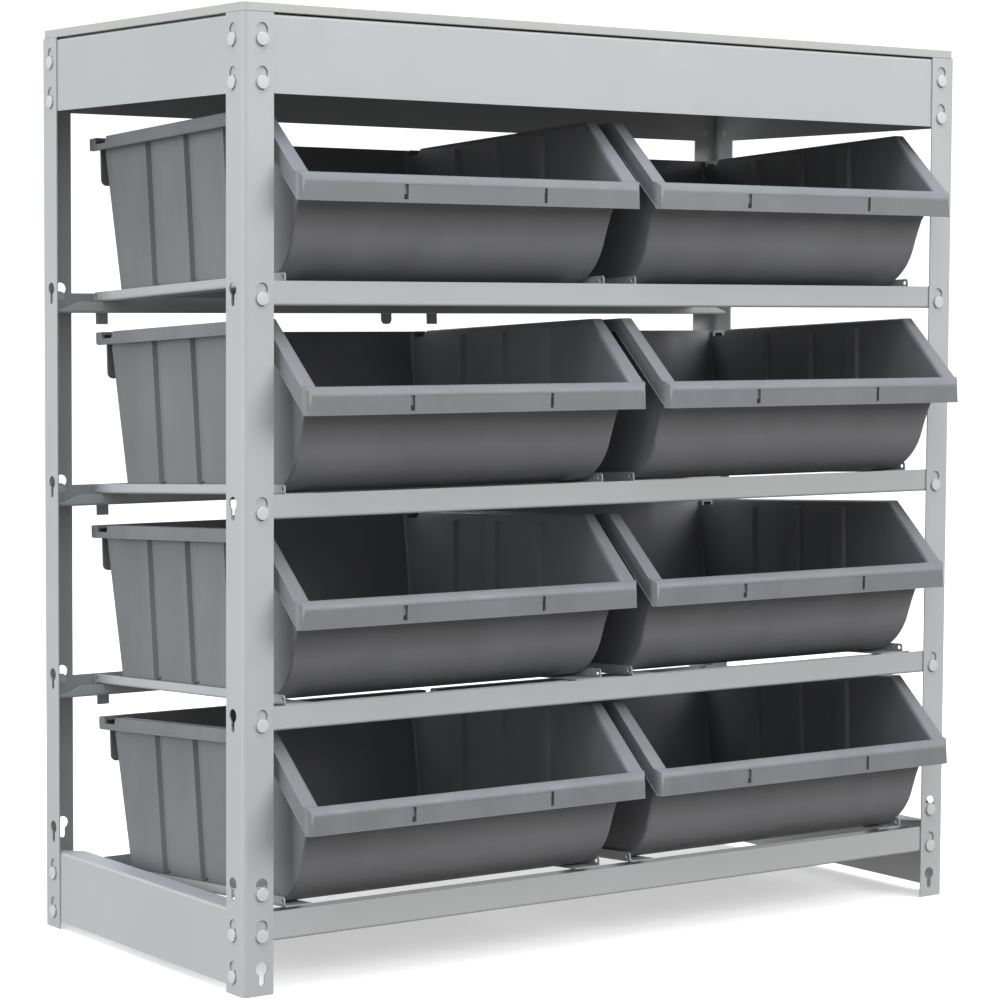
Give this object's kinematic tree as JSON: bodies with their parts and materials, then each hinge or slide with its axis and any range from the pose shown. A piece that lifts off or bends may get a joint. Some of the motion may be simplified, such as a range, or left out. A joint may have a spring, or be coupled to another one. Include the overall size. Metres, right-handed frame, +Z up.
{
  "type": "storage bin rack",
  "caption": "Free-standing boltless steel rack with keyhole posts, riveted beams and a flat top board, holding hopper-front storage bins that slide on sloping runners.",
  "frame": {"origin": "floor level, at the middle of the whole object's width and depth, lips of the pulled-out bins included", "axes": "+X to the right seen from the front, +Y from the front to the back, +Z up; the bins' lips face -Y"},
  "size_m": [0.8596, 0.4478, 0.8863],
  "materials": {
    "powder_coated_steel": "satin light grey powder coat",
    "grey_board": "light grey laminate on particle board",
    "bin_plastic": "dark grey injection-moulded polypropylene, fine grain"
  },
  "bodies": {
    "rack": {"base_beam_left": "powder_coated_steel", "base_beam_right": "powder_coated_steel", "base_tier_beam_front": "powder_coated_steel", "base_tier_beam_rear": "powder_coated_steel", "lower_tier_beam_front": "powder_coated_steel", "lower_tier_beam_rear": "powder_coated_steel", "post_front_left": "powder_coated_steel", "post_front_right": "powder_coated_steel", "post_rear_left": "powder_coated_steel", "post_rear_right": "powder_coated_steel", "runner_base_left_a": "powder_coated_steel", "runner_base_left_b": "powder_coated_steel", "runner_base_right_a": "powder_coated_steel", "runner_base_right_b": "powder_coated_steel", "runner_lower_left_a": "powder_coated_steel", "runner_lower_left_b": "powder_coated_steel", "runner_lower_right_a": "powder_coated_steel", "runner_lower_right_b": "powder_coated_steel", "runner_top_left_a": "powder_coated_steel", "runner_top_left_b": "powder_coated_steel", "runner_top_right_a": "powder_coated_steel", "runner_top_right_b": "powder_coated_steel", "runner_upper_left_a": "powder_coated_steel", "runner_upper_left_b": "powder_coated_steel", "runner_upper_right_a": "powder_coated_steel", "runner_upper_right_b": "powder_coated_steel", "top_beam_front": "powder_coated_steel", "top_beam_left": "powder_coated_steel", "top_beam_rear": "powder_coated_steel", "top_beam_right": "powder_coated_steel", "top_board": "grey_board", "top_tier_beam_front": "powder_coated_steel", "top_tier_beam_rear": "powder_coated_steel", "upper_tier_beam_front": "powder_coated_steel", "upper_tier_beam_rear": "powder_coated_steel"},
    "bin_base_left": {"bin_base_left": "bin_plastic"},
    "bin_base_right": {"bin_base_right": "bin_plastic"},
    "bin_lower_left": {"bin_lower_left": "bin_plastic"},
    "bin_lower_right": {"bin_lower_right": "bin_plastic"},
    "bin_top_left": {"bin_top_left": "bin_plastic"},
    "bin_top_right": {"bin_top_right": "bin_plastic"},
    "bin_upper_left": {"bin_upper_left": "bin_plastic"},
    "bin_upper_right": {"bin_upper_right": "bin_plastic"}
  },
  "joints": [
    {"name": "slide_base_left", "type": "slide", "parent": "rack", "child": "bin_base_left", "axis": [0, -0.9976, 0.0694], "range_m": [-0.073, 0.3]},
    {"name": "slide_base_right", "type": "slide", "parent": "rack", "child": "bin_base_right", "axis": [0, -0.9976, 0.0694], "range_m": [-0.073, 0.3]},
    {"name": "slide_lower_left", "type": "slide", "parent": "rack", "child": "bin_lower_left", "axis": [0, -0.9986, 0.0523], "range_m": [-0.056, 0.317]},
    {"name": "slide_lower_right", "type": "slide", "parent": "rack", "child": "bin_lower_right", "axis": [0, -0.9986, 0.0523], "range_m": [-0.062, 0.311]},
    {"name": "slide_top_left", "type": "slide", "parent": "rack", "child": "bin_top_left", "axis": [0, -0.9986, 0.0523], "range_m": [-0.055, 0.318]},
    {"name": "slide_top_right", "type": "slide", "parent": "rack", "child": "bin_top_right", "axis": [0, -0.9986, 0.0523], "range_m": [-0.062, 0.31]},
    {"name": "slide_upper_left", "type": "slide", "parent": "rack", "child": "bin_upper_left", "axis": [0, -0.9986, 0.0523], "range_m": [-0.067, 0.306]},
    {"name": "slide_upper_right", "type": "slide", "parent": "rack", "child": "bin_upper_right", "axis": [0, -0.9986, 0.0523], "range_m": [-0.079, 0.294]}
  ]
}
